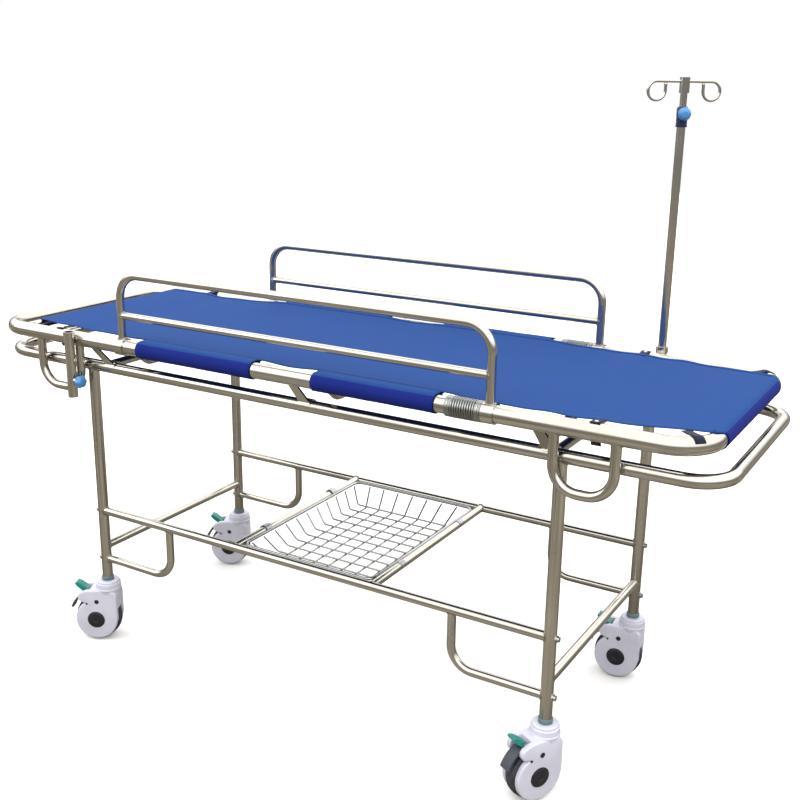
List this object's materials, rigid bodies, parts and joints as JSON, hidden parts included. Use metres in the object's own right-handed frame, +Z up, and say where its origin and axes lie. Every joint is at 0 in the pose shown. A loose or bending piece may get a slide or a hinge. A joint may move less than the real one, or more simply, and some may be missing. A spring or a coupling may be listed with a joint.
{
  "type": "stretcher trolley",
  "caption": "Stainless tube stretcher trolley with lift-off canvas deck, folding guard rails, wire basket, telescopic drip pole and braked swivel casters.",
  "frame": {"origin": "on the floor, under the middle of the trolley, midway between its four legs", "axes": "+X towards the foot end, +Y towards the side that carries the drip pole, +Z up"},
  "size_m": [1.982, 0.7838, 1.515],
  "materials": {
    "stainless_tube": "polished stainless tube",
    "bright_steel": "turned bright steel",
    "basket_wire": "bright welded wire",
    "deck_canvas": "coated blue canvas",
    "sleeve_canvas": "coated dark blue canvas",
    "webbing": "woven webbing",
    "clamp_plastic": "moulded nylon",
    "knob_plastic": "moulded nylon",
    "caster_plastic": "moulded nylon",
    "cap_plastic": "moulded nylon",
    "core_plastic": "moulded nylon",
    "tyre_rubber": "soft rubber",
    "pedal_plastic": "moulded nylon"
  },
  "bodies": {
    "trolley": {"leg_near_head": "stainless_tube", "leg_near_foot": "stainless_tube", "leg_far_head": "stainless_tube", "leg_far_foot": "stainless_tube", "top_rails": "stainless_tube", "push_bows": "stainless_tube", "lower_rails": "stainless_tube", "end_bars": "stainless_tube", "basket_bars": "stainless_tube", "top_bars": "stainless_tube", "brace_bows": "stainless_tube", "frame_bolts": "bright_steel", "caster_stems": "bright_steel"},
    "basket": {"basket_grille": "basket_wire", "basket_rim": "basket_wire"},
    "stretcher": {"side_tube_near": "stainless_tube", "side_tube_far": "stainless_tube", "head_bow": "stainless_tube", "foot_bow": "stainless_tube", "deck_cross_bars": "stainless_tube", "ground_feet": "stainless_tube", "saddle_brackets": "stainless_tube", "pole_sockets": "stainless_tube", "deck_straps": "webbing", "deck_canvas": "deck_canvas", "canvas_sleeves": "sleeve_canvas"},
    "guard_near": {"guard_rail_near": "stainless_tube", "guard_collars_near": "stainless_tube"},
    "guard_far": {"guard_rail_far": "stainless_tube", "guard_collars_far": "stainless_tube"},
    "lock_near": {"guard_lock_near": "bright_steel"},
    "lock_far": {"guard_lock_far": "bright_steel"},
    "drip_pole": {"pole_tube": "stainless_tube", "pole_clamp": "clamp_plastic"},
    "drip_rod": {"pole_rod": "stainless_tube", "pole_hook_bar": "stainless_tube"},
    "clamp_knob": {"pole_clamp_knob": "knob_plastic"},
    "socket_knob_n": {"socket_knob_near": "knob_plastic"},
    "socket_knob_f": {"socket_knob_far": "knob_plastic"},
    "swivel_near_head": {"caster_near_head_housing": "caster_plastic", "caster_near_head_axle": "cap_plastic"},
    "wheel_near_head": {"caster_near_head_wheel": "core_plastic", "caster_near_head_tyre": "tyre_rubber"},
    "pedal_near_head": {"caster_near_head_pedal": "pedal_plastic"},
    "swivel_near_foot": {"caster_near_foot_housing": "caster_plastic", "caster_near_foot_axle": "cap_plastic"},
    "wheel_near_foot": {"caster_near_foot_wheel": "core_plastic", "caster_near_foot_tyre": "tyre_rubber"},
    "pedal_near_foot": {"caster_near_foot_pedal": "pedal_plastic"},
    "swivel_far_head": {"caster_far_head_housing": "caster_plastic", "caster_far_head_axle": "cap_plastic"},
    "wheel_far_head": {"caster_far_head_wheel": "core_plastic", "caster_far_head_tyre": "tyre_rubber"},
    "pedal_far_head": {"caster_far_head_pedal": "pedal_plastic"},
    "swivel_far_foot": {"caster_far_foot_housing": "caster_plastic", "caster_far_foot_axle": "cap_plastic"},
    "wheel_far_foot": {"caster_far_foot_wheel": "core_plastic", "caster_far_foot_tyre": "tyre_rubber"},
    "pedal_far_foot": {"caster_far_foot_pedal": "pedal_plastic"}
  },
  "joints": [
    {"name": "basket_lift", "type": "slide", "parent": "trolley", "child": "basket", "axis": [0, 0, 1], "range_m": [0, 0.25]},
    {"name": "stretcher_lift", "type": "slide", "parent": "trolley", "child": "stretcher", "axis": [0, 0, 1], "range_m": [0, 0.3]},
    {"name": "guard_near_fold", "type": "hinge", "parent": "stretcher", "child": "guard_near", "pos_m": [0, -0.308, 0.852], "axis": [1, 0, 0], "range_deg": [0, 170]},
    {"name": "guard_far_fold", "type": "hinge", "parent": "stretcher", "child": "guard_far", "pos_m": [0, 0.308, 0.852], "axis": [-1, 0, 0], "range_deg": [0, 170]},
    {"name": "lock_near_pull", "type": "slide", "parent": "stretcher", "child": "lock_near", "axis": [-1, 0, 0], "range_m": [0, 0.015], "stiffness_N_per_m": 300, "springref_m": -0.005},
    {"name": "lock_far_pull", "type": "slide", "parent": "stretcher", "child": "lock_far", "axis": [-1, 0, 0], "range_m": [0, 0.015], "stiffness_N_per_m": 300, "springref_m": -0.005},
    {"name": "pole_lift", "type": "slide", "parent": "stretcher", "child": "drip_pole", "axis": [0, 0, 1], "range_m": [0, 0.16]},
    {"name": "rod_raise", "type": "slide", "parent": "drip_pole", "child": "drip_rod", "axis": [0, 0, 1], "range_m": [0, 0.35]},
    {"name": "clamp_knob_turn", "type": "hinge", "parent": "drip_pole", "child": "clamp_knob", "pos_m": [0.65, 0.3385, 1.434], "axis": [0.4695, -0.8829, 0], "range_deg": [-180, 180]},
    {"name": "socket_knob_near_turn", "type": "hinge", "parent": "stretcher", "child": "socket_knob_n", "pos_m": [-0.673, -0.3385, 0.748], "axis": [1, 0, 0], "range_deg": [-180, 180]},
    {"name": "socket_knob_far_turn", "type": "hinge", "parent": "stretcher", "child": "socket_knob_f", "pos_m": [0.65, 0.3385, 0.748], "axis": [1, 0, 0], "range_deg": [-180, 180]},
    {"name": "near_head_swivel", "type": "hinge", "parent": "trolley", "child": "swivel_near_head", "pos_m": [-0.65, -0.284, 0.157], "axis": [0, 0, 1], "continuous": true},
    {"name": "near_head_roll", "type": "hinge", "parent": "swivel_near_head", "child": "wheel_near_head", "pos_m": [-0.67673, -0.29762, 0.0625], "axis": [-0.454, 0.891, 0], "continuous": true},
    {"name": "near_head_brake", "type": "hinge", "parent": "swivel_near_head", "child": "pedal_near_head", "pos_m": [-0.70168, -0.31033, 0.139], "axis": [0.454, -0.891, 0], "range_deg": [0, 7]},
    {"name": "near_foot_swivel", "type": "hinge", "parent": "trolley", "child": "swivel_near_foot", "pos_m": [0.65, -0.284, 0.157], "axis": [0, 0, 1], "continuous": true},
    {"name": "near_foot_roll", "type": "hinge", "parent": "swivel_near_foot", "child": "wheel_near_foot", "pos_m": [0.635, -0.30998, 0.0625], "axis": [-0.866, 0.5, 0], "continuous": true},
    {"name": "near_foot_brake", "type": "hinge", "parent": "swivel_near_foot", "child": "pedal_near_foot", "pos_m": [0.621, -0.33423, 0.139], "axis": [0.866, -0.5, 0], "range_deg": [0, 7]},
    {"name": "far_head_swivel", "type": "hinge", "parent": "trolley", "child": "swivel_far_head", "pos_m": [-0.65, 0.284, 0.157], "axis": [0, 0, 1], "continuous": true},
    {"name": "far_head_roll", "type": "hinge", "parent": "swivel_far_head", "child": "wheel_far_head", "pos_m": [-0.67719, 0.27132, 0.0625], "axis": [-0.4226, 0.9063, 0], "continuous": true},
    {"name": "far_head_brake", "type": "hinge", "parent": "swivel_far_head", "child": "pedal_far_head", "pos_m": [-0.70257, 0.25949, 0.139], "axis": [0.4226, -0.9063, 0], "range_deg": [0, 7]},
    {"name": "far_foot_swivel", "type": "hinge", "parent": "trolley", "child": "swivel_far_foot", "pos_m": [0.65, 0.284, 0.157], "axis": [0, 0, 1], "continuous": true},
    {"name": "far_foot_roll", "type": "hinge", "parent": "swivel_far_foot", "child": "wheel_far_foot", "pos_m": [0.62011, 0.28139, 0.0625], "axis": [-0.0872, 0.9962, 0], "continuous": true},
    {"name": "far_foot_brake", "type": "hinge", "parent": "swivel_far_foot", "child": "pedal_far_foot", "pos_m": [0.59222, 0.27894, 0.139], "axis": [0.0872, -0.9962, 0], "range_deg": [0, 7]}
  ]
}
